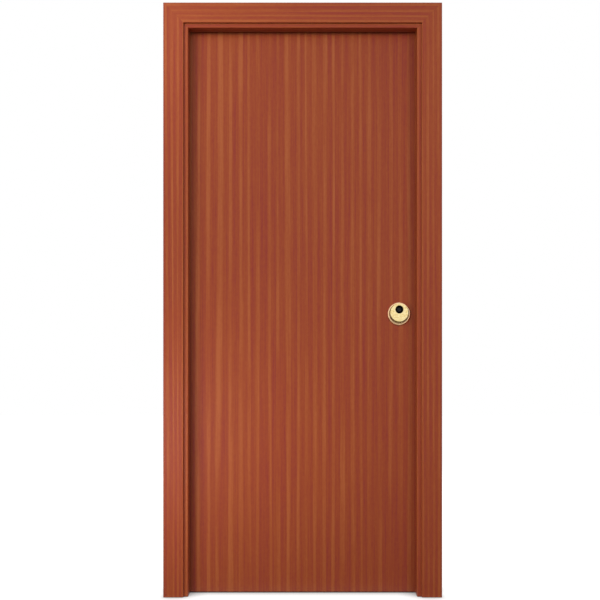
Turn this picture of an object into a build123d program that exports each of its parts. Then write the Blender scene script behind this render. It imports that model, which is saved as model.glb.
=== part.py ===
from build123d import *
import os

# A flush veneered front door. The leaf swings inwards on three butt hinges, in a rebated timber
# frame with mitred architraves on both faces. A round brass escutcheon guards the key cylinder.
# Millimetres. The outside of the door faces -Y and +Z is up. The origin is at floor level, on the
# hinge jamb's wall face, at half the jamb's depth.

# Leaf
leaf_width = 825.0
leaf_height = 2030.0
leaf_thickness = 45.0
panel_thickness = 5.0
lipping_thickness = 10.0
panel_arris = 1.0

# Clearances round the leaf
edge_gap = 5.0
floor_gap = 3.0
seal_gap = 5.0

# Frame
jamb_depth = 110.0
rebate_wall = 30.0
stop_projection = 9.0
stop_edge_radius = 4.0

# Architraves
architrave_width = 72.0
architrave_thickness = 12.0
architrave_reveal = 16.0
architrave_inner_radius = 3.0
architrave_outer_radius = 3.0

# Weather seal on the stop
seal_width = 8.0
seal_thickness = 3.0
seal_edge_radius = 1.2

# Fixing holes through the jambs
fixing_radius = 5.0
fixing_setback = 11.0
fixing_floor_distance = 150.0
fixing_head_distance = 118.0
fixing_count = 4

# Hinges
hinge_height = 100.0
hinge_end_distance = 220.0
flap_width = 30.0
flap_thickness = 2.5
knuckle_radius = 7.0
knuckle_count = 5
knuckle_gap = 0.3
axis_offset = 8.0
pin_radius = 3.0
pin_clearance = 0.08
pin_cap_radius = 5.0
pin_cap_height = 4.0
pin_cap_round = 1.5

# Lock, keyhole and cylinder
lock_height = 1010.0
lock_backset = 63.0
keyhole_rise = 15.0
keyhole_radius = 14.5
keyhole_chamfer = 0.6
cylinder_radius = 8.5
cylinder_web = 10.0
cylinder_height = 33.0
cylinder_projection = 7.0
cylinder_clearance = 0.3
plug_radius = 6.5
plug_length = 24.0
plug_clearance = 0.05
keyway_width = 2.6
keyway_height = 9.0
keyway_depth = 20.0

# Escutcheon: a dished rose with a round rim, a raised cup in the dish, whose face leans up off the
# rose's middle, and a guard collar in the cup's keyhole
rose_radius = 42.0
rim_height = 7.0
rim_width = 8.0
rim_outer_radius = 4.5
rim_inner_radius = 3.0
rose_floor = 2.5
rose_groove = 1.2
cup_shoulder = 9.5
cup_lean_height = 4.0
cup_lean = 4.7
collar_clearance = 0.1

# Bolts, faceplate and strike plate
faceplate_width = 22.0
faceplate_height = 260.0
faceplate_thickness = 3.0
plate_corner_radius = 8.0
bolt_radius = 8.0
bolt_length = 34.0
bolt_spacing = 34.0
bolt_count = 3
bolt_drop = 20.0
bolt_clearance = 0.3
latch_rise = 80.0
latch_width = 12.0
latch_height = 20.0
strike_width = 25.0
strike_thickness = 2.5
strike_clearance = 1.0
strike_pocket_depth = 20.0

# Planes and edges that the pieces share
front_y = -jamb_depth / 2
back_y = jamb_depth / 2
leaf_front_y = back_y - leaf_thickness
leaf_middle_y = back_y - leaf_thickness / 2
stop_y = leaf_front_y - seal_gap - seal_thickness
stop_x = rebate_wall + stop_projection
leaf_left = rebate_wall + edge_gap
leaf_right = leaf_left + leaf_width
frame_width = leaf_right + edge_gap + rebate_wall
leaf_bottom = floor_gap
leaf_top = floor_gap + leaf_height
rebate_z = leaf_top + edge_gap
stop_z = rebate_z - stop_projection
frame_top = rebate_z + rebate_wall
axis_x = rebate_wall + edge_gap / 2
axis_y = back_y + axis_offset
lock_x = leaf_right - lock_backset
key_z = lock_height + keyhole_rise
dish_radius = rose_radius - rim_width
cup_radius = dish_radius - rose_groove
cup_height = cup_shoulder + cup_lean_height
rose_front_y = leaf_front_y - rose_floor
cylinder_face_y = leaf_front_y - cylinder_projection
hinge_heights = {
    "bottom": leaf_bottom + hinge_end_distance,
    "middle": leaf_bottom + leaf_height / 2,
    "top": leaf_top - hinge_end_distance,
}
bolt_names = ["lower", "middle", "upper"]
bolt_heights = {
    bolt_names[i]: lock_height - bolt_drop + (i - (bolt_count - 1) / 2) * bolt_spacing
    for i in range(bolt_count)
}
latch_z = lock_height + latch_rise
swing_room = jamb_depth


def block(low, high):
    """A box between two corners."""
    size = [b - a for a, b in zip(low, high)]
    centre = [(a + b) / 2 for a, b in zip(low, high)]
    return Pos(*centre) * Box(*size)


def rod_along_x(radius, x0, x1, y, z):
    return Pos((x0 + x1) / 2, y, z) * Rot(Y=90) * Cylinder(radius, x1 - x0)


def rod_along_y(radius, x, y0, y1, z):
    return Pos(x, (y0 + y1) / 2, z) * Rot(X=90) * Cylinder(radius, y1 - y0)


def rod_along_z(radius, x, y, z0, z1):
    return Pos(x, y, (z0 + z1) / 2) * Cylinder(radius, z1 - z0)


def on_lock_side(piece):
    """The mirror image of a hinge side piece."""
    return mirror(piece, about=Plane.YZ.offset(frame_width / 2))


def on_back_face(piece):
    """The mirror image, across the leaf, of a piece on its outside face."""
    return mirror(piece, about=Plane.XZ.offset(-leaf_middle_y))


def rounded_outline(points, rounded):
    """A closed outline, with the corners in rounded (point number to radius) made round."""
    face = make_face(Polyline(*points, close=True))
    for number, radius in rounded.items():
        corner = face.vertices().sort_by_distance((*points[number], 0))[0]
        face = fillet(corner, radius)
    return face


def elevation(points):
    """A prism through the whole depth, from an outline seen from the front as (x, z)."""
    reach = jamb_depth + architrave_thickness + swing_room
    return extrude(Plane.XZ * make_face(Polyline(*points, close=True)), amount=reach, both=True)


def mitred_set(side_outline, head_outline, outer_x, inner_x, inner_z, outer_z):
    """Hinge side, lock side and head members, from their sections, mitred at both corners."""
    inner_right = frame_width - inner_x
    outer_right = frame_width - outer_x
    side_shape = [(outer_x, 0), (inner_x, 0), (inner_x, inner_z), (outer_x, outer_z)]
    head_shape = [(outer_x, outer_z), (inner_x, inner_z), (inner_right, inner_z), (outer_right, outer_z)]
    side = extrude(side_outline, amount=outer_z) & elevation(side_shape)
    head_bar = extrude(Plane.YZ * head_outline, amount=outer_right - outer_x)
    head = Pos(outer_x, 0, 0) * head_bar & elevation(head_shape)
    return side, on_lock_side(side), head


def frame_members():
    """The rebated jambs and head, with the front edge of the stop rounded."""
    side = [
        (0, front_y),
        (stop_x, front_y),
        (stop_x, stop_y),
        (rebate_wall, stop_y),
        (rebate_wall, back_y),
        (0, back_y),
    ]
    head = [
        (front_y, frame_top),
        (front_y, stop_z),
        (stop_y, stop_z),
        (stop_y, rebate_z),
        (back_y, rebate_z),
        (back_y, frame_top),
    ]
    rounded = {1: stop_edge_radius}
    outlines = rounded_outline(side, rounded), rounded_outline(head, rounded)
    return mitred_set(*outlines, 0, stop_x, stop_z, frame_top)


def architraves(inner_x, inner_z):
    """The three mitred mouldings on the front wall plane, round an opening."""
    outer_x = inner_x - architrave_width
    outer_z = inner_z + architrave_width
    face_y = front_y - architrave_thickness
    side = [(inner_x, front_y), (inner_x, face_y), (outer_x, face_y), (outer_x, front_y)]
    head = [(front_y, inner_z), (face_y, inner_z), (face_y, outer_z), (front_y, outer_z)]
    rounded = {1: architrave_inner_radius, 2: architrave_outer_radius}
    outlines = rounded_outline(side, rounded), rounded_outline(head, rounded)
    return mitred_set(*outlines, outer_x, inner_x, inner_z, outer_z)


def seals():
    """Strips on the rear face of the stop. The head strip lies across the two side strips."""
    side_x = rebate_wall + (stop_projection - seal_width) / 2
    head_z = stop_z + (stop_projection - seal_width) / 2
    seal_y = stop_y + seal_thickness
    side = [(side_x, stop_y), (side_x + seal_width, stop_y), (side_x + seal_width, seal_y), (side_x, seal_y)]
    head = [(stop_y, head_z), (seal_y, head_z), (seal_y, head_z + seal_width), (stop_y, head_z + seal_width)]
    side_strip = extrude(rounded_outline(side, {2: seal_edge_radius, 3: seal_edge_radius}), amount=head_z)
    head_outline = rounded_outline(head, {1: seal_edge_radius, 2: seal_edge_radius})
    head_strip = Pos(side_x, 0, 0) * extrude(Plane.YZ * head_outline, amount=frame_width - 2 * side_x)
    return side_strip, on_lock_side(side_strip), head_strip


def jamb_fixings():
    """Screw holes through the hinge jamb, between the stop and the hinge flaps."""
    pitch = (frame_top - fixing_head_distance - fixing_floor_distance) / (fixing_count - 1)
    heights = [fixing_floor_distance + i * pitch for i in range(fixing_count)]
    hole_y = stop_y + fixing_setback
    return [rod_along_x(fixing_radius, 0, rebate_wall, hole_y, z) for z in heights]


def flap_plate(x0, z):
    """The flat of a hinge flap, let in flush with the edge that carries it."""
    half = hinge_height / 2
    return block((x0, back_y - flap_width, z - half), (x0 + flap_thickness, back_y, z + half))


def knuckle_spans(z):
    """The bottom and top of each knuckle of a hinge, with a running gap between them."""
    pitch = (hinge_height + knuckle_gap) / knuckle_count
    bottom = z - hinge_height / 2
    return [(bottom + i * pitch, bottom + (i + 1) * pitch - knuckle_gap) for i in range(knuckle_count)]


def hinge_flap(x0, z, spans):
    """A flap with its knuckles, bored for the pin."""
    flap = flap_plate(x0, z)
    for z0, z1 in spans:
        flap += block((x0, back_y, z0), (x0 + flap_thickness, axis_y, z1))
        flap += rod_along_z(knuckle_radius, axis_x, axis_y, z0, z1)
    bore_radius = pin_radius + pin_clearance
    return flap - rod_along_z(bore_radius, axis_x, axis_y, z - hinge_height, z + hinge_height)


def hinge_pin(z):
    """A pin with a round cap resting on each end of the barrel."""
    half = hinge_height / 2
    cap = fillet(Cylinder(pin_cap_radius, pin_cap_height).edges().group_by(Axis.Z)[-1], pin_cap_round)
    cap = Pos(axis_x, axis_y, z) * Pos(0, 0, half + pin_cap_height / 2) * cap
    shank = rod_along_z(pin_radius, axis_x, axis_y, z - half, z + half)
    return shank + cap + mirror(cap, about=Plane.XY.offset(z))


def cylinder_outline(grow, y0, y1):
    """The key cylinder's shape, a round over a narrow web, grown by a clearance all round."""
    foot_z = key_z + cylinder_radius - cylinder_height + cylinder_web / 2
    half_web = cylinder_web / 2 + grow
    shape = rod_along_y(cylinder_radius + grow, lock_x, y0, y1, key_z)
    shape += block((lock_x - half_web, y0, foot_z), (lock_x + half_web, y1, key_z))
    return shape + rod_along_y(half_web, lock_x, y0, y1, foot_z)


def cylinder_hole():
    """The hole for the key cylinder through the whole leaf."""
    return cylinder_outline(cylinder_clearance, leaf_front_y - swing_room, back_y + swing_room)


def plug_outline(radius, length):
    """A rod from the cylinder's outside face inwards."""
    return rod_along_y(radius, lock_x, cylinder_face_y, cylinder_face_y + length, key_z)


def key_plug():
    """The turning plug, flush with the cylinder's face, with its keyway."""
    slot_low = (lock_x - keyway_width / 2, cylinder_face_y, key_z - keyway_height / 2)
    slot_high = (lock_x + keyway_width / 2, cylinder_face_y + keyway_depth, key_z + keyway_height / 2)
    return plug_outline(plug_radius, plug_length) - block(slot_low, slot_high)


def key_cylinder():
    """The cylinder's body, bored from both ends for its plugs."""
    bore = plug_outline(plug_radius + plug_clearance, plug_length)
    body = cylinder_outline(0, cylinder_face_y, back_y + cylinder_projection)
    return body - bore - on_back_face(bore)


def on_leaf_front(piece):
    """Stands a piece turned about Z on the leaf's outside face, at the lock."""
    return Pos(lock_x, leaf_front_y, lock_height) * Rot(X=90) * piece


def escutcheon_rose():
    """The base: a dish inside a round rim, turned about the middle."""
    section = [
        (0, 0),
        (rose_radius, 0),
        (rose_radius, rim_height),
        (dish_radius, rim_height),
        (dish_radius, rose_floor),
        (0, rose_floor),
    ]
    outline = rounded_outline(section, {2: rim_outer_radius, 3: rim_inner_radius})
    return on_leaf_front(revolve(Plane.XZ * outline, Axis.Z)) - cylinder_hole()


def escutcheon_cup():
    """A round foot, then a shoulder that leans up to the face, cut for the keyhole and the cylinder."""
    cup = Pos(0, 0, rose_floor + cup_shoulder / 2) * Cylinder(cup_radius, cup_shoulder)
    shoulder = Pos(0, 0, rose_floor + cup_shoulder) * Circle(cup_radius)
    face = Pos(0, cup_lean, rose_floor + cup_height) * Circle(cup_radius)
    cup += loft([shoulder, face])
    cup -= Pos(0, keyhole_rise, rose_floor + cup_height / 2) * Cylinder(keyhole_radius, cup_height)
    mouth = Cone(keyhole_radius, keyhole_radius + keyhole_chamfer, keyhole_chamfer)
    cup -= Pos(0, keyhole_rise, rose_floor + cup_height - keyhole_chamfer / 2) * mouth
    pocket_y = cylinder_face_y - cylinder_clearance
    return on_leaf_front(cup) - cylinder_outline(cylinder_clearance, pocket_y, leaf_front_y)


def guard_collar():
    """A collar round the cylinder's nose that fills the foot of the keyhole."""
    collar = rod_along_y(keyhole_radius - collar_clearance, lock_x, cylinder_face_y, rose_front_y, key_z)
    return collar - cylinder_hole()


def bolt_bores(radius, depth, x0):
    """Rods along the bolts, from x0 for a depth."""
    return [rod_along_x(radius, x0, x0 + depth, leaf_middle_y, z) for z in bolt_heights.values()]


def latch_block(grow, x0, x1):
    """A block along the latch, grown by a clearance."""
    half_width = latch_width / 2 + grow
    half_height = latch_height / 2 + grow
    low = (x0, leaf_middle_y - half_width, latch_z - half_height)
    return block(low, (x1, leaf_middle_y + half_width, latch_z + half_height))


def lock_plate(x0, thickness, width):
    """A plate on the lock's edge, centred on the leaf's thickness."""
    half_height = faceplate_height / 2
    low = (x0, leaf_middle_y - width / 2, lock_height - half_height)
    plate = block(low, (x0 + thickness, leaf_middle_y + width / 2, lock_height + half_height))
    return fillet(plate.edges().filter_by(Axis.X), plate_corner_radius)


def bolt_holes():
    """Clearance holes for the bolts and the latch, from the leaf's lock edge inwards."""
    start = leaf_right - bolt_length
    latch_hole = latch_block(bolt_clearance, start, leaf_right)
    return bolt_bores(bolt_radius + bolt_clearance, bolt_length, start) + [latch_hole]


def strike_holes(start, depth):
    """Holes that the bolts and the latch shoot into, from the rebate face outwards."""
    latch_hole = latch_block(strike_clearance, start, start + depth)
    return bolt_bores(bolt_radius + strike_clearance, depth, start) + [latch_hole]


def leaf_boards():
    """The core, its edge lippings and the two veneered panels, cut for hinges and lock."""
    inner_front = leaf_front_y + panel_thickness
    inner_back = back_y - panel_thickness
    core_left = leaf_left + lipping_thickness
    core_right = leaf_right - lipping_thickness
    core_bottom = leaf_bottom + lipping_thickness
    core_top = leaf_top - lipping_thickness
    mortises = [flap_plate(leaf_left, z) for z in hinge_heights.values()]
    faceplate = lock_plate(leaf_right - faceplate_thickness, faceplate_thickness, faceplate_width)
    panel = block((leaf_left, leaf_front_y, leaf_bottom), (leaf_right, inner_front, leaf_top))
    panel = fillet(panel.edges().group_by(Axis.Y)[0], panel_arris)
    core = block((core_left, inner_front, core_bottom), (core_right, inner_back, core_top))
    hinge_edge = block((leaf_left, inner_front, leaf_bottom), (core_left, inner_back, leaf_top))
    lock_edge = block((core_right, inner_front, leaf_bottom), (leaf_right, inner_back, leaf_top))
    bottom_edge = block((core_left, inner_front, leaf_bottom), (core_right, inner_back, core_bottom))
    top_edge = block((core_left, inner_front, core_top), (core_right, inner_back, leaf_top))
    return {
        "leaf_core": core - bolt_holes() - cylinder_hole() - mortises,
        "front_panel": panel - cylinder_hole(),
        "back_panel": on_back_face(panel) - cylinder_hole() - mortises,
        "hinge_edge_lipping": hinge_edge - mortises,
        "lock_edge_lipping": lock_edge - [faceplate] - bolt_holes(),
        "bottom_edge_lipping": bottom_edge,
        "top_edge_lipping": top_edge,
    }


def frame_pieces():
    """Jambs and head, architraves, seals and strike plate."""
    hinge_jamb, lock_jamb, head_jamb = frame_members()
    flaps = [flap_plate(rebate_wall - flap_thickness, z) for z in hinge_heights.values()]
    rebate_right = frame_width - rebate_wall
    strike = lock_plate(rebate_right, strike_thickness, strike_width)
    pockets = strike_holes(rebate_right, strike_pocket_depth)
    pieces = {
        "hinge_jamb": hinge_jamb - jamb_fixings() - flaps,
        "lock_jamb": lock_jamb - [on_lock_side(hole) for hole in jamb_fixings()] - [strike] - pockets,
        "head_jamb": head_jamb,
        "strike_plate": strike - strike_holes(rebate_right, strike_thickness),
    }
    sides = ["hinge_side", "lock_side", "head"]
    front = architraves(stop_x - architrave_reveal, stop_z + architrave_reveal)
    rear = architraves(rebate_wall - architrave_reveal, rebate_z + architrave_reveal)
    for side, front_piece, rear_piece, seal in zip(sides, front, rear, seals()):
        pieces["front_architrave_" + side] = front_piece
        pieces["back_architrave_" + side] = mirror(rear_piece, about=Plane.XZ)
        pieces["seal_" + side] = seal
    return pieces


def hinges():
    """Frame flap, leaf flap and pin of each hinge, with the outer knuckles on the frame."""
    pieces = {}
    for name, z in hinge_heights.items():
        spans = knuckle_spans(z)
        pieces[f"{name}_hinge_frame_flap"] = hinge_flap(rebate_wall - flap_thickness, z, spans[0::2])
        pieces[f"{name}_hinge_leaf_flap"] = hinge_flap(leaf_left, z, spans[1::2])
        pieces[f"{name}_hinge_pin"] = hinge_pin(z)
    return pieces


def lock_pieces():
    """Faceplate, drawn-back bolts and latch, key cylinder and the two escutcheons."""
    start = leaf_right - bolt_length
    faceplate = lock_plate(leaf_right - faceplate_thickness, faceplate_thickness, faceplate_width)
    pieces = {
        "lock_faceplate": faceplate - bolt_holes(),
        "latch_bolt": latch_block(0, start, leaf_right),
        "key_cylinder": key_cylinder(),
    }
    for name, bolt in zip(bolt_heights, bolt_bores(bolt_radius, bolt_length, start)):
        pieces[f"{name}_dead_bolt"] = bolt
    outside = {
        "key_plug": key_plug(),
        "escutcheon_rose": escutcheon_rose(),
        "escutcheon_cup": escutcheon_cup(),
        "guard_collar": guard_collar(),
    }
    for name, piece in outside.items():
        pieces["front_" + name] = piece
        pieces["back_" + name] = on_back_face(piece)
    return pieces


def main():
    os.makedirs("parts", exist_ok=True)
    for name, piece in {**frame_pieces(), **hinges(), **leaf_boards(), **lock_pieces()}.items():
        export_step(piece, f"parts/{name}.step")


main()
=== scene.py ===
from math import pi, radians

import bmesh
import bpy
import numpy as np
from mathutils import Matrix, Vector


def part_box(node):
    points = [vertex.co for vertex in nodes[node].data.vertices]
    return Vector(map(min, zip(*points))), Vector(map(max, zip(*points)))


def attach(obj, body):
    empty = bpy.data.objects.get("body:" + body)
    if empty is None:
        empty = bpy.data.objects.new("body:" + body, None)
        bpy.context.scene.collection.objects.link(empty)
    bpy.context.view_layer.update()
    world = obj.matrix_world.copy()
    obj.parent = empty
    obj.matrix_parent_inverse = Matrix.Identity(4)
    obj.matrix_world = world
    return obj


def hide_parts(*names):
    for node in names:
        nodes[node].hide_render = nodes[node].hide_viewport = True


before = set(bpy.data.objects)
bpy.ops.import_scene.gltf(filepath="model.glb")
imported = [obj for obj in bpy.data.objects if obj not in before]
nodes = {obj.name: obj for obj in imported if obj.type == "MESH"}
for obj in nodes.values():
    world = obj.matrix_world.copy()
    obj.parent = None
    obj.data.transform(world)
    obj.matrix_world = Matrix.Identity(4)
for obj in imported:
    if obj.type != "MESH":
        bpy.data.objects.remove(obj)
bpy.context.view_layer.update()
mm = 0.001
print("frame loaded,", len(nodes), "nodes")

# Faces of the door set that the new pieces and patterns take their place from, in metres
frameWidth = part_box("lock_jamb")[1].x           # the hinge jamb's wall face is x = 0
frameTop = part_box("head_jamb")[1].z
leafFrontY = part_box("front_panel")[0].y
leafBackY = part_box("back_panel")[1].y
roseLow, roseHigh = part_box("front_escutcheon_rose")
collarLow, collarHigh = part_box("front_guard_collar")
lockX = (roseLow.x + roseHigh.x) / 2
lockZ = (roseLow.z + roseHigh.z) / 2
keyZ = (collarLow.z + collarHigh.z) / 2


# Helpers for nodes and colours
def addNode(tree, kind, sockets=None, **settings):    # one node with its settings, values and links
    node = tree.nodes.new(kind)
    for key, value in settings.items():
        setattr(node, key, value)
    for key, value in (sockets or {}).items():
        if isinstance(value, bpy.types.NodeSocket):
            tree.links.new(value, node.inputs[key])
        else:
            node.inputs[key].default_value = value
    return node


def linear(hexColour):                                # sRGB hex to linear RGBA
    srgb = np.array([int(hexColour[i:i + 2], 16) for i in (1, 3, 5)]) / 255
    rgb = np.where(srgb <= 0.04045, srgb / 12.92, ((srgb + 0.055) / 1.055) ** 2.4)
    return (*rgb.tolist(), 1.0)


def newMaterial(name, **sockets):                     # a material with one Principled shader
    material = bpy.data.materials.new(name)
    material.use_nodes = True
    tree = material.node_tree
    tree.nodes.clear()
    values = {key.replace("_", " "): value for key, value in sockets.items()}
    shader = addNode(tree, "ShaderNodeBsdfPrincipled", values)
    addNode(tree, "ShaderNodeOutputMaterial", {"Surface": shader.outputs[0]})
    return material, tree, shader


def setRamp(node, stops):                             # colour stops of a ramp node, (place, hex)
    ramp = node.color_ramp
    while len(ramp.elements) < len(stops):
        ramp.elements.new(0.5)
    for element, (place, hexColour) in zip(ramp.elements, stops):
        element.position = place
        element.color = linear(hexColour)


noiseLow, noiseHigh = 0.3, 0.7                        # most of a noise's values lie between these


def grainNoise(tree, place, sizeMm, detail):          # noise whose blotches are sizeMm (x, y, z) across
    stretch = addNode(tree, "ShaderNodeVectorMath", {0: place, 1: [1 / (size * mm) for size in sizeMm]},
                      operation="MULTIPLY")
    noise = addNode(tree, "ShaderNodeTexNoise", {
        "Vector": stretch.outputs[0], "Scale": 1.0, "Detail": detail})
    return noise.outputs[0]


# Sapele, quarter cut and varnished satin: ribbons of interlocked grain run the length of the board,
# orange where the fibres lean to the eye and wine red where they lean away, with fine dark pores
sapeleLook = {
    "leafRibbonMm": 34.0,             # from one light ribbon to the next
    "frameRibbonMm": 19.0,
    "slant": 0.7,                     # how far the ribbons move across for each step into the board
    "lightFrom": -0.2,                # the part of the sine that is light: -1 is all of it, 1 none
    "wanders": [                      # size of the bends in mm, reach in ribbons
        ((120, 120, 5000), 1.8),
        ((38, 38, 3000), 0.44),
    ],
    "fadeMm": (45, 45, 450),          # patches in which the ribbons are weak or strong
    "leafFade": (0.14, 0.66),         # what a ribbon adds to the tone where it is weak and where it is strong
    "frameFade": (0.2, 0.62),
    "softDetail": 2,                  # detail of the noise in the bends and the patches
    "toneBase": -0.93,                # brings the sum of all the layers back to the ramp's 0 to 1
    "layers": [                       # blotch size in mm, detail, weight in the tone
        ((150, 150, 900), 2, 0.4),    # broad bands of one tree's growth
        ((5, 5, 560), 3, 0.8),        # streaks
        ((2.2, 2.2, 120), 2, 0.58),   # hairlines
        ((7, 7, 13), 2, 0.36),        # mottle
        ((1.3, 1.3, 26), 1, 0.32),    # pores, 0.2 mm wide on the real wood, drawn coarser so that they show
    ],
    "tones": [(0.0, "#8A3127"), (0.3, "#943E21"), (0.55, "#9B4821"), (0.95, "#A7562B")],
    "sheen": 0.42,
    "rough": (0.46, 0.36),            # dark and light ribbons
    "poreDepthMm": 0.3, "poreStrength": 0.12,
    "seamMm": 0.8, "seamShade": 0.75,    # mitre lines
    "frameGain": 1.05,                # the frame's boards are a little paler than the veneer
}


def mitreShade(tree, place):
    # distance from the nearer mitre plane, from min(x, width - x) + z - top, turned into a dark hairline
    axes = addNode(tree, "ShaderNodeSeparateXYZ", {0: place})
    other = addNode(tree, "ShaderNodeMath", {0: frameWidth, 1: axes.outputs["X"]}, operation="SUBTRACT")
    near = addNode(tree, "ShaderNodeMath", {0: axes.outputs["X"], 1: other.outputs[0]}, operation="MINIMUM")
    height = addNode(tree, "ShaderNodeMath", {0: near.outputs[0], 1: axes.outputs["Z"]}, operation="ADD")
    apart = addNode(tree, "ShaderNodeMath", {0: height.outputs[0], 1: frameTop}, operation="SUBTRACT")
    away = addNode(tree, "ShaderNodeMath", {0: apart.outputs[0]}, operation="ABSOLUTE")
    return addNode(tree, "ShaderNodeMapRange", {
        "Value": away.outputs[0], "From Max": sapeleLook["seamMm"] * mm, "To Min": sapeleLook["seamShade"],
        "To Max": sapeleLook["frameGain"]}, interpolation_type="SMOOTHSTEP").outputs[0]


def varnishedSapele(name, grain, shift, mitred):
    look = sapeleLook
    material, tree, shader = newMaterial(name, Specular_IOR_Level=look["sheen"])
    place = addNode(tree, "ShaderNodeTexCoord").outputs["Object"]
    turn = (0, 0, 0) if grain == "Z" else (0, radians(90), 0)       # the grain lies along Z after the turn
    board = addNode(tree, "ShaderNodeMapping", {
        "Vector": place, "Location": shift, "Rotation": turn}).outputs[0]
    # ribbons are the upper part of a sine of the distance across the board, which the wander bends
    # and the fading weakens
    axes = addNode(tree, "ShaderNodeSeparateXYZ", {0: board})
    across = addNode(tree, "ShaderNodeMath", {0: axes.outputs["Y"], 1: look["slant"], 2: axes.outputs["X"]},
                     operation="MULTIPLY_ADD")
    ribbonMm = look["frameRibbonMm"] if mitred else look["leafRibbonMm"]
    fade = look["frameFade"] if mitred else look["leafFade"]
    bent = addNode(tree, "ShaderNodeMath", {0: across.outputs[0], 1: 1 / (ribbonMm * mm)},
                   operation="MULTIPLY").outputs[0]
    for sizeMm, reach in look["wanders"]:
        wander = grainNoise(tree, board, sizeMm, look["softDetail"])
        bent = addNode(tree, "ShaderNodeMath", {0: wander, 1: reach, 2: bent},
                       operation="MULTIPLY_ADD").outputs[0]
    phase = addNode(tree, "ShaderNodeMath", {0: bent, 1: 2 * pi}, operation="MULTIPLY")
    wave = addNode(tree, "ShaderNodeMath", {0: phase.outputs[0]}, operation="SINE")
    base = look["toneBase"]
    patches = grainNoise(tree, board, look["fadeMm"], look["softDetail"])
    crest = addNode(tree, "ShaderNodeMapRange", {
        "Value": patches, "From Min": noiseLow, "From Max": noiseHigh,
        "To Min": base + fade[0], "To Max": base + fade[1]})
    tone = addNode(tree, "ShaderNodeMapRange", {
        "Value": wave.outputs[0], "From Min": look["lightFrom"],
        "To Min": base, "To Max": crest.outputs[0]}, interpolation_type="SMOOTHSTEP").outputs[0]
    for sizeMm, detail, weight in look["layers"]:
        layer = grainNoise(tree, board, sizeMm, detail)
        tone = addNode(tree, "ShaderNodeMath", {0: layer, 1: weight, 2: tone},
                       operation="MULTIPLY_ADD").outputs[0]
    ramp = addNode(tree, "ShaderNodeValToRGB", {"Fac": tone})
    setRamp(ramp, look["tones"])
    colour = ramp.outputs["Color"]
    if mitred:
        colour = addNode(tree, "ShaderNodeVectorMath", {0: colour, "Scale": mitreShade(tree, place)},
                         operation="SCALE").outputs[0]
    gloss = addNode(tree, "ShaderNodeMapRange", {
        "Value": tone, "To Min": look["rough"][0], "To Max": look["rough"][1]})
    relief = addNode(tree, "ShaderNodeBump", {
        "Strength": look["poreStrength"], "Distance": look["poreDepthMm"] * mm, "Height": tone})
    tree.links.new(colour, shader.inputs["Base Color"])
    tree.links.new(gloss.outputs[0], shader.inputs["Roughness"])
    tree.links.new(relief.outputs[0], shader.inputs["Normal"])
    return material


# What all the metals share: where tarnish gives way to clean metal, and the depth of the tool's marks.
# Real marks are about 0.05 mm wide; each metal's buffMm draws them coarser so that they show
workedLook = {
    "tarnishSpan": (0.3, 0.62), "tarnishDetail": 3,
    "markDetail": 2, "markDepthMm": 0.1, "markStrength": 0.04,
}
# Brass, turned and buffed: a yellow mirror with faint buffing marks and a warm mottle. The sides of the
# cup are painted olive brown: painted shade for the dark groove and lower edge round the cup
polishedBrass = {
    "colours": ("#E9CA80", "#FDEAB0"), "tarnishMm": 7,
    "buffMm": (0.8, 0.8, 14), "rough": (0.1, 0.22),
    # the sides' olive brown is painted shade, not a colour of the brass
    "sides": "#705A08", "sideRough": 0.4,
    "faceMm": (15.1, 15.9),           # height over the leaf where the sides end and where the face starts
}
# Brass on the rose, painted pinker: painted reflection of the red wood around it
pinkReflectionBrass = {
    "colours": ("#EDBF90", "#FBD5A8"), "tarnishMm": 9,
    "buffMm": (0.8, 0.8, 14), "rough": (0.12, 0.24),
}
# Brass brushed satin, on the hinges: duller and browner, with lines along the brushing
satinBrass = {
    "colours": ("#A67F3C", "#CBA65C"), "tarnishMm": 22,
    "buffMm": (0.7, 0.7, 60), "rough": (0.28, 0.44),
}
# Stainless steel, ground along its length: grey satin lines
satinSteel = {
    "colours": ("#A3A29E", "#C8C7C3"), "tarnishMm": 30,
    "buffMm": (0.6, 0.6, 70), "rough": (0.26, 0.42),
}
# Steel in the keyhole, painted nearly black with a dull grey shine: painted shade for the deep keyhole
keyholeShadeSteel = {
    "colours": ("#080807", "#141310"), "tarnishMm": 5,
    "buffMm": (0.5, 0.5, 0.5), "rough": (0.35, 0.55),
}
# Steel of the key plugs, turned, painted dark grey with a cool shine: painted shade for the plugs deep in the
# keyhole
plugSteelInShade = {
    "colours": ("#24262A", "#3A3D42"), "tarnishMm": 4,
    "buffMm": (0.5, 0.5, 0.5), "rough": (0.3, 0.45),
}


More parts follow.
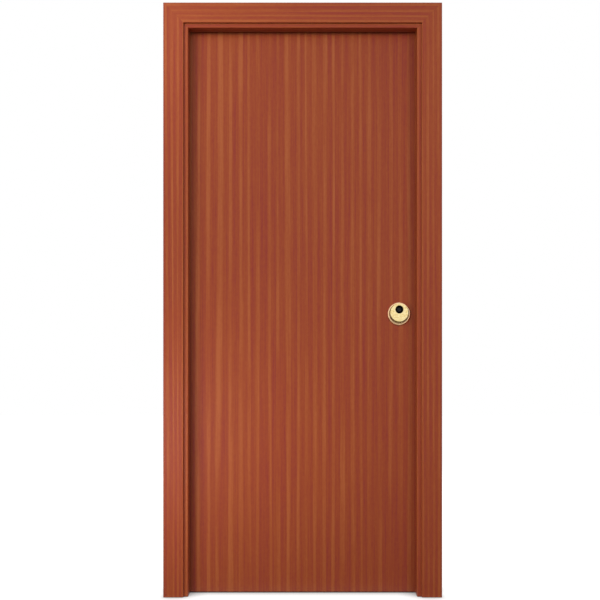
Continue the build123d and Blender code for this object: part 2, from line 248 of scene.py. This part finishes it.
def worked(name, look):
    # tarnish picks the colour, and fine lines left by the tool set the roughness and the relief
    material, tree, shader = newMaterial(name, Metallic=1.0)
    place = addNode(tree, "ShaderNodeTexCoord").outputs["Object"]
    tarnish = grainNoise(tree, place, (look["tarnishMm"],) * 3, workedLook["tarnishDetail"])
    lines = grainNoise(tree, place, look["buffMm"], workedLook["markDetail"])
    ramp = addNode(tree, "ShaderNodeValToRGB", {"Fac": tarnish})
    setRamp(ramp, list(zip(workedLook["tarnishSpan"], look["colours"])))
    gloss = addNode(tree, "ShaderNodeMapRange", {
        "Value": lines, "From Min": noiseLow, "From Max": noiseHigh,
        "To Min": look["rough"][0], "To Max": look["rough"][1]})
    relief = addNode(tree, "ShaderNodeBump", {
        "Strength": workedLook["markStrength"], "Distance": workedLook["markDepthMm"] * mm, "Height": lines})
    colour, rough = ramp.outputs["Color"], gloss.outputs[0]
    if "sides" in look:
        # 1 on the face and 0 on the sides, by the height over the leaf's nearer face; the sides get the
        # painted shade
        depth = addNode(tree, "ShaderNodeSeparateXYZ", {0: place}).outputs["Y"]
        apart = addNode(tree, "ShaderNodeMath", {0: depth, 1: (leafFrontY + leafBackY) / 2},
                        operation="SUBTRACT")
        away = addNode(tree, "ShaderNodeMath", {0: apart.outputs[0]}, operation="ABSOLUTE")
        low, high = [(leafBackY - leafFrontY) / 2 + faceMm * mm for faceMm in look["faceMm"]]
        face = addNode(tree, "ShaderNodeMapRange", {
            "Value": away.outputs[0], "From Min": low, "From Max": high})
        # sockets 6 and 7 are the mix node's colours A and B, and output 2 its colour
        colour = addNode(tree, "ShaderNodeMix", {0: face.outputs[0], 6: linear(look["sides"]), 7: colour},
                         data_type="RGBA").outputs[2]
        rough = addNode(tree, "ShaderNodeMapRange", {
            "Value": face.outputs[0], "To Min": look["sideRough"], "To Max": rough}).outputs[0]
    tree.links.new(colour, shader.inputs["Base Color"])
    tree.links.new(rough, shader.inputs["Roughness"])
    tree.links.new(relief.outputs[0], shader.inputs["Normal"])
    return material


# EPDM rubber, extruded: matt near-black with a dusty bloom and faint lines along the strip
rubberLook = {
    "colours": ("#1E1E1F", "#343332"), "rough": 0.72, "sheen": 0.35,
    "bloomMm": 9, "bloomDetail": 3, "bloomSpan": (0.35, 0.7),
    "lineMm": (0.9, 0.9, 200), "lineDetail": 1, "lineDepthMm": 0.1, "lineStrength": 0.2,
}


def extrudedRubber(name):
    look = rubberLook
    material, tree, shader = newMaterial(name, Roughness=look["rough"], Specular_IOR_Level=look["sheen"])
    place = addNode(tree, "ShaderNodeTexCoord").outputs["Object"]
    bloom = grainNoise(tree, place, (look["bloomMm"],) * 3, look["bloomDetail"])
    ramp = addNode(tree, "ShaderNodeValToRGB", {"Fac": bloom})
    setRamp(ramp, list(zip(look["bloomSpan"], look["colours"])))
    lines = grainNoise(tree, place, look["lineMm"], look["lineDetail"])
    relief = addNode(tree, "ShaderNodeBump", {
        "Strength": look["lineStrength"], "Distance": look["lineDepthMm"] * mm, "Height": lines})
    tree.links.new(ramp.outputs["Color"], shader.inputs["Base Color"])
    tree.links.new(relief.outputs[0], shader.inputs["Normal"])
    return material


# Chipboard, pressed from flakes and sawn: pale straw chips with darker resin between them
chipLook = {
    "tones": [(0.0, "#8F6A3E"), (0.4, "#C09A66"), (1.0, "#DDC08C")], "rough": 0.85, "sheen": 0.2,
    "chipMm": 4.0, "chipDepthMm": 0.4, "chipStrength": 0.5,
}


def sawnChipboard(name):
    look = chipLook
    material, tree, shader = newMaterial(name, Roughness=look["rough"], Specular_IOR_Level=look["sheen"])
    place = addNode(tree, "ShaderNodeTexCoord").outputs["Object"]
    chips = addNode(tree, "ShaderNodeTexVoronoi", {"Vector": place, "Scale": 1 / (look["chipMm"] * mm)})
    ramp = addNode(tree, "ShaderNodeValToRGB", {"Fac": chips.outputs["Color"]})
    setRamp(ramp, look["tones"])
    relief = addNode(tree, "ShaderNodeBump", {
        "Strength": look["chipStrength"], "Distance": look["chipDepthMm"] * mm,
        "Height": chips.outputs["Distance"]})
    tree.links.new(ramp.outputs["Color"], shader.inputs["Base Color"])
    tree.links.new(relief.outputs[0], shader.inputs["Normal"])
    return material


# Which finish each node of the frame has
metalFinish = {
    "buffedBrass": worked("polished brass", polishedBrass),
    "buffedBrassPinkReflection": worked("polished brass with painted pink reflection", pinkReflectionBrass),
    "brushedBrass": worked("satin brass", satinBrass),
    "groundSteel": worked("ground stainless steel", satinSteel),
    "keyholeShadeBlack": worked("steel painted black as keyhole shade", keyholeShadeSteel),
    "shadedPlugSteel": worked("plug steel painted dark as keyhole shade", plugSteelInShade),
}
nodeMetal = {
    "escutcheon_cup": "buffedBrass", "escutcheon_rose": "buffedBrassPinkReflection",
    "hinge_frame": "brushedBrass", "hinge_leaf": "brushedBrass", "hinge_pin": "brushedBrass",
    "bolt": "groundSteel", "plate": "groundSteel",
    "plug": "shadedPlugSteel", "cylinder": "keyholeShadeBlack", "collar": "keyholeShadeBlack",
}
rubber = extrudedRubber("extruded EPDM rubber")
chipboard = sawnChipboard("sawn chipboard")
acrossBoards = ("head", "bottom_edge", "top_edge")     # boards whose grain runs level
boardStep = Vector((0.613, 0.207, 0.391))              # each board is cut from its own place in the log


def finishNode(number, name):
    if name.startswith("seal"):
        return rubber
    if name == "leaf_core":
        return chipboard
    for part, metal in nodeMetal.items():
        if part in name:
            return metalFinish[metal]
    grain = "X" if any(part in name for part in acrossBoards) else "Z"
    mitred = "jamb" in name or "architrave" in name
    return varnishedSapele("varnished sapele " + name, grain, boardStep * number, mitred)


for number, name in enumerate(sorted(nodes)):
    nodes[name].data.materials.clear()
    nodes[name].data.materials.append(finishNode(number, name))
print("finishes on", len(nodes), "nodes")


# Helpers for new pieces
def roundedOutline(corners, steps):
    # each corner (u, v, radius) gives way to an arc that touches both of its sides: at a share t of the
    # arc, its two end spokes are added up with the weights sin((1 - t) turn) and sin(t turn) over sin(turn)
    points = np.array([corner[:2] for corner in corners], float)
    radii = [corner[2] for corner in corners]
    stretches = []
    for i, radius in enumerate(radii):
        sides = np.array([points[i - 1], points[(i + 1) % len(points)]]) - points[i]
        sides /= np.linalg.norm(sides, axis=1)[:, None]
        if radius == 0:
            stretches.append(points[i:i + 1])
            continue
        half = np.arccos(sides[0] @ sides[1]) / 2
        middle = sides.sum(0) / np.linalg.norm(sides.sum(0))
        centre = points[i] + middle * radius / np.sin(half)
        spokes = points[i] + sides * radius / np.tan(half) - centre
        turn = pi - 2 * half
        t = np.linspace(0, 1, steps + 1)[:, None]
        arc = np.sin((1 - t) * turn) * spokes[0] + np.sin(t * turn) * spokes[1]
        stretches.append(centre + arc / np.sin(turn))
    return np.vstack(stretches)


def newPiece(name, grids, loop, material, body, sharpDegrees=32):
    # grids are (count, rows, columns, 3) points: every row is a closed ring, rows follow each other,
    # and the last row meets the first (loop) or both end rows are filled
    count, rows, columns = grids.shape[:3]
    index = np.arange(count * rows * columns).reshape(count, rows, columns)
    index = np.concatenate([index, index[:, :, :1]], axis=2)
    if loop:
        index = np.concatenate([index, index[:, :1]], axis=1)
    quads = np.stack([index[:, :-1, :-1], index[:, :-1, 1:], index[:, 1:, 1:], index[:, 1:, :-1]], axis=-1)
    faces = quads.reshape(-1, 4).tolist()
    if not loop:
        faces += index[:, 0, -2::-1].tolist() + index[:, -1, :-1].tolist()
    mesh = bpy.data.meshes.new(name)
    mesh.from_pydata(grids.reshape(-1, 3).tolist(), [], faces)
    shell = bmesh.new()
    shell.from_mesh(mesh)
    bmesh.ops.recalc_face_normals(shell, faces=shell.faces)
    shell.to_mesh(mesh)
    shell.free()
    mesh.polygons.foreach_set("use_smooth", np.ones(len(mesh.polygons), bool))
    mesh.set_sharp_from_angle(angle=radians(sharpDegrees))
    mesh.materials.append(material)
    piece = bpy.data.objects.new(name, mesh)
    bpy.context.scene.collection.objects.link(piece)
    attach(piece, body)
    return piece


# Escutcheons: a dished rose with a round rim, and a raised cup whose face leans up and has the
# keyhole in it
escutcheonLook = {
    "rimMm": 8, "rimTopMm": 7, "rimInnerRoundMm": 3, "rimOuterRoundMm": 4.5, "floorMm": 2.5,
    "shoulderMm": 12, "edgeRoundMm": 0.7, "lipRoundMm": 0.6, "collarGapMm": 0.1,
    "lipReachMm": 1,                  # rings this near the keyhole are centred on it
    "ringSteps": 160, "arcSteps": 8,
}


def turnedRings(outline, riseMm, faceY, outward):
    # every (radius, height) of the outline becomes a circle, whose middle is riseMm above the lock's
    angle = np.linspace(0, 2 * pi, escutcheonLook["ringSteps"], endpoint=False)
    radius, height = outline[:, :1] * mm, outline[:, 1:] * mm
    x = lockX + radius * np.cos(angle)
    y = np.broadcast_to(faceY + outward * height, x.shape)
    z = lockZ + riseMm[:, None] * mm + radius * np.sin(angle)
    return np.stack([x, y, z], axis=-1)[None]


def escutcheon(side, faceY, outward):
    look = escutcheonLook
    cupLow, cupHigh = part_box("front_escutcheon_cup")
    roseMm = (roseHigh.x - roseLow.x) / 2 / mm
    cupMm = (cupHigh.x - cupLow.x) / 2 / mm
    cupTop = (leafFrontY - cupLow.y) / mm
    keyhole = (collarHigh.x - collarLow.x) / 2 / mm + look["collarGapMm"]
    keyRise = (keyZ - lockZ) / mm
    lean = (cupHigh.z - lockZ) / mm - cupMm
    floor, rimMm = look["floorMm"], roseMm - look["rimMm"]
    rose = roundedOutline([
        (keyhole, 0, 0),
        (keyhole, floor, 0),
        (rimMm, floor, 0),
        (rimMm, look["rimTopMm"], look["rimInnerRoundMm"]),
        (roseMm, look["rimTopMm"], look["rimOuterRoundMm"]),
        (roseMm, 0, 0),
    ], look["arcSteps"])
    cup = roundedOutline([
        (keyhole, floor, 0),
        (keyhole, cupTop, look["lipRoundMm"]),
        (cupMm, cupTop, look["edgeRoundMm"]),
        (cupMm, look["shoulderMm"], 0),
        (cupMm, floor, 0),
    ], look["arcSteps"])
    # rings of the keyhole are centred on it, and from the shoulder up the cup's own rings lean
    leaning = np.clip((cup[:, 1] - look["shoulderMm"]) / (cupTop - look["shoulderMm"]), 0, 1) * lean
    lipMm = keyhole + look["lipReachMm"]
    cupRise = np.where(cup[:, 0] < lipMm, keyRise, leaning)
    roseRise = np.where(rose[:, 0] < lipMm, keyRise, 0)
    for part, outline, rise in (("rose", rose, roseRise), ("cup", cup, cupRise)):
        rings = turnedRings(outline, rise, faceY, outward)
        brass = metalFinish[nodeMetal["escutcheon_" + part]]
        piece = newPiece(f"{side}_turned_{part}", rings, True, brass, "leaf")
        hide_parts(f"{side}_escutcheon_{part}")


escutcheon("front", leafFrontY, -1)
escutcheon("back", leafBackY, 1)
print("escutcheons turned")

# Weather seal: one bulb strip up the hinge side of the stop, over the head and down the lock side
sealLook = {"baseMm": 0.9, "bulbInsetMm": 1.3, "bulbRoundMm": 1.0, "lipMm": 0.35, "arcSteps": 5}


def bulbSeal():
    # a section (across, out) carried along the stop, the across part turning at each mitred corner
    look = sealLook
    low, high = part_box("seal_hinge_side")
    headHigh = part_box("seal_head")[1]
    wide, deep = (high.x - low.x) / mm, (high.y - low.y) / mm
    inset = look["bulbInsetMm"]
    section = roundedOutline([
        (0, 0, 0),
        (wide, 0, 0),
        (wide, look["baseMm"], look["lipMm"]),
        (wide - inset, look["baseMm"], look["lipMm"]),
        (wide - inset, deep, look["bulbRoundMm"]),
        (inset, deep, look["bulbRoundMm"]),
        (inset, look["baseMm"], look["lipMm"]),
        (0, look["baseMm"], look["lipMm"]),
    ], look["arcSteps"]) * mm
    across, out = section[:, 0], low.y + section[:, 1]
    left, right, top = low.x + across, frameWidth - low.x - across, headHigh.z - across
    floor = np.full_like(across, low.z)
    stations = [(left, floor), (left, top), (right, top), (right, floor)]
    rings = np.stack([np.stack([x, out, z], axis=-1) for x, z in stations])[None]
    piece = newPiece("bulb_seal", rings, False, rubber, "frame")
    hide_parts("seal_hinge_side", "seal_head", "seal_lock_side")


bulbSeal()
print("seal swept")

# Raised countersunk screws with a cross recess, four in each hinge flap and two in each lock plate
screwLook = {
    "headMm": 4.0, "proudMm": 0.95, "rimMm": 0.1,
    "recessMm": 0.75, "recessTaper": 0.6, "armMm": 2.1, "armHalfDegrees": 15,
    "ringsMm": (2.7, 3.2, 3.65, 4.0), "steps": 48,
    "flapRowsMm": (-37, -13, 13, 37), "flapColumnsMm": (9, 19), "plateEndMm": 11,
}


def screwHeads(name, seats, normal, metal, body):
    # rings from the floor of the recess outwards: the cross is the smaller of arm / cos and half / sin of
    # the angle from the nearest arm, the rings outside it are circles, and the height over the rim falls
    # as 1 - (r / R)^2
    look = screwLook
    angle = np.linspace(0, 2 * pi, look["steps"], endpoint=False)
    folded = np.abs((angle + pi / 4) % (pi / 2) - pi / 4)
    armHalf = look["armMm"] * np.tan(radians(look["armHalfDegrees"]))
    cross = np.minimum(look["armMm"] / np.cos(folded), armHalf / np.maximum(np.sin(folded), 1e-6))
    circles = np.array(look["ringsMm"])[:, None] * np.ones_like(angle)
    between = (cross + circles[0]) / 2
    radius = np.vstack([cross * look["recessTaper"], cross, between, circles, circles[-1:]])
    rim = look["rimMm"]
    height = rim + (look["proudMm"] - rim) * (1 - (radius / look["headMm"]) ** 2)
    height[0] = look["proudMm"] - look["recessMm"]
    height[-1] = 0
    towards = np.array(normal, float)
    upwards = np.array((0, 0, 1.0))
    sideways = np.cross(upwards, towards)
    plan = np.cos(angle)[:, None] * sideways + np.sin(angle)[:, None] * upwards
    head = (radius[..., None] * plan + height[..., None] * towards) * mm
    rings = np.array(seats)[:, None, None, :] + head
    newPiece(name, rings, False, metalFinish[metal], body)


def flapSeats(part, faceX):
    seats = []
    for place in ("bottom", "middle", "top"):
        low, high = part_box(f"{place}_hinge_{part}")
        for i, rise in enumerate(screwLook["flapRowsMm"]):
            y = low.y + screwLook["flapColumnsMm"][i % 2] * mm
            seats.append((faceX, y, (low.z + high.z) / 2 + rise * mm))
    return seats


def plateSeats(node, faceX):
    low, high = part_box(node)
    end = screwLook["plateEndMm"] * mm
    return [(faceX, (low.y + high.y) / 2, z) for z in (low.z + end, high.z - end)]


pinLow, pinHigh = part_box("middle_hinge_pin")
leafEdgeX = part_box("hinge_edge_lipping")[0].x
rebateX = pinLow.x + pinHigh.x - leafEdgeX            # the pin stands midway between the two flaps
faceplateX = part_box("lock_faceplate")[1].x
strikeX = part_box("strike_plate")[0].x
toLock, toHinges = (1, 0, 0), (-1, 0, 0)              # the way that the heads face
screwHeads("frame_flap_screws", flapSeats("frame_flap", rebateX), toLock,
           "brushedBrass", "frame")
screwHeads("leaf_flap_screws", flapSeats("leaf_flap", leafEdgeX), toHinges,
           "brushedBrass", "leaf")
screwHeads("faceplate_screws", plateSeats("lock_faceplate", faceplateX), toLock,
           "groundSteel", "leaf")
screwHeads("strike_screws", plateSeats("strike_plate", strikeX), toHinges,
           "groundSteel", "frame")
print("screws driven")

# Studio: a grey floor that looks white, a white surround, four lamps in front and one behind. Lengths
# are in metres
studioLook = {
    "floor": "#797773", "floorRough": 0.9, "floorReach": 9.0, "floorDrop": 1.0 * mm,
    # the glow is dimmed within this reach of the door by ambient occlusion: a painted contact shadow
    "floorGlow": 1.0, "paintedShadowReach": 0.07,
    "surround": 0.272,                # strength of the surround as a lamp; it looks white all the same
    "flag": "#D2CFC9", "flagSpan": ((-2.0, 3.2), (-7.0, -0.075)), "flagRise": 4 * mm,
    "lamps": {
        "keyLeft": {                  # the shadow of the left architrave, from the middle up
            "place": (-0.48, -1.0, 2.19), "aim": (0.34, 0, 1.45), "size": (0.4, 0.5), "watts": 6.8,
        },
        "fillRight": {                # the shadow on the right
            "place": (2.14, -3.1, 2.52), "aim": (0.5, 0, 0.2), "size": (0.6, 0.6), "watts": 30,
        },
        "lowLeft": {                  # the left shadow's lower half; the narrow spread spares the head
            "place": (-0.34, -0.92, 0.51), "aim": (0.3, 0, 0.51), "size": (0.6, 0.4), "watts": 2.2,
            "spread": 105,
        },
        "frontWide": {                # the level of the whole face, and the shadow under the head
            "place": (-0.8, -4.0, 2.35), "aim": (0.44, 0, 1.0), "size": (1.6, 0.6), "watts": 51,
        },
        "backLight": {                # the inner side
            "place": (0.9, 3.4, 2.4), "aim": (0.45, 0, 1.0), "size": (2.4, 2.0), "watts": 95,
        },
    },
}
white = (1, 1, 1, 1)


def seenRay(tree):                                    # 1 for rays that see the floor or the surround
    path = addNode(tree, "ShaderNodeLightPath")
    mirror = addNode(tree, "ShaderNodeMath", {
        0: path.outputs["Is Glossy Ray"], 1: path.outputs["Is Transmission Ray"]}, operation="MAXIMUM")
    return addNode(tree, "ShaderNodeMath", {0: path.outputs["Is Camera Ray"], 1: mirror.outputs[0]},
                   operation="MAXIMUM").outputs[0]


def stageSheet(name, spanX, spanY, z, material):
    # a level sheet of one cell, facing up
    mesh = bpy.data.meshes.new(name)
    (left, right), (near, far) = spanX, spanY
    corners = [(left, near, z), (right, near, z), (right, far, z), (left, far, z)]
    mesh.from_pydata(corners, [], [(0, 1, 2, 3)])
    mesh.materials.append(material)
    sheet = bpy.data.objects.new(name, mesh)
    bpy.context.scene.collection.objects.link(sheet)
    return sheet


def studioFloor():
    # matt grey for bounced light; it glows only to rays that see it, and ambient occlusion dims the glow
    # where the door stands close over it: a painted contact shadow
    look = studioLook
    reach = (-look["floorReach"], look["floorReach"])
    material, tree, shader = newMaterial(
        "painted studio floor", Base_Color=linear(look["floor"]), Roughness=look["floorRough"],
        Specular_IOR_Level=0.0, Emission_Color=white)
    contactShadeMask = addNode(tree, "ShaderNodeAmbientOcclusion", {"Distance": look["paintedShadowReach"]})
    level = addNode(tree, "ShaderNodeMath", {0: contactShadeMask.outputs["AO"], 1: look["floorGlow"]},
                    operation="MULTIPLY")
    glow = addNode(tree, "ShaderNodeMath", {0: seenRay(tree), 1: level.outputs[0]}, operation="MULTIPLY")
    tree.links.new(glow.outputs[0], shader.inputs["Emission Strength"])
    stageSheet("studio_floor", reach, reach, -look["floorDrop"], material)


def studioFlag():
    # a pale grey card on the floor, seen by reflections alone, which draws the undersides of the brass
    look = studioLook
    material = newMaterial("grey felt card", Base_Color=linear(look["flag"]), Roughness=1.0,
                           Specular_IOR_Level=0.0)[0]
    flag = stageSheet("studio_flag", *look["flagSpan"], look["flagRise"], material)
    flag.visible_camera = flag.visible_diffuse = flag.visible_transmission = flag.visible_shadow = False


def studioSurround():
    world = bpy.data.worlds.new("white surround")
    world.use_nodes = True
    tree = world.node_tree
    tree.nodes.clear()
    level = addNode(tree, "ShaderNodeMapRange", {
        "Value": seenRay(tree), "To Min": studioLook["surround"], "To Max": 1.0})
    sky = addNode(tree, "ShaderNodeBackground", {"Color": white, "Strength": level.outputs[0]})
    addNode(tree, "ShaderNodeOutputWorld", {"Surface": sky.outputs[0]})
    bpy.context.scene.world = world


def studioLamp(name, place, aim, size, watts, spread=180):
    lamp = bpy.data.lights.new(name, "AREA")
    lamp.shape = "RECTANGLE"
    lamp.size, lamp.size_y = size
    lamp.energy = watts
    lamp.spread = radians(spread)
    holder = bpy.data.objects.new(name, lamp)
    holder.location = place
    holder.rotation_euler = (Vector(aim) - Vector(place)).to_track_quat("-Z", "Y").to_euler()
    holder.visible_camera = holder.visible_glossy = False
    bpy.context.scene.collection.objects.link(holder)


studioFloor()
studioFlag()
studioSurround()
for lampName, settings in studioLook["lamps"].items():
    studioLamp(lampName, **settings)
print("studio lit")

# Camera: level, a little under half the door's height, fitted to the photograph's outlines
cameraLook = {
    "place": (0.438, -4.2, 0.94), "focalPixels": 1161.6,
    "horizonPixels": 33.15,           # how far the horizon is below the middle
    "framePixels": 600, "sensorMm": 36,
}
lens = bpy.data.cameras.new("frontView")
lens.sensor_width = cameraLook["sensorMm"]
lens.lens = cameraLook["focalPixels"] * cameraLook["sensorMm"] / cameraLook["framePixels"]
lens.shift_y = cameraLook["horizonPixels"] / cameraLook["framePixels"]
camera = bpy.data.objects.new("frontView", lens)
camera.location = cameraLook["place"]
camera.rotation_euler = (radians(90), 0, 0)
bpy.context.scene.collection.objects.link(camera)
bpy.context.scene.camera = camera
bpy.context.scene.view_settings.view_transform = "Standard"
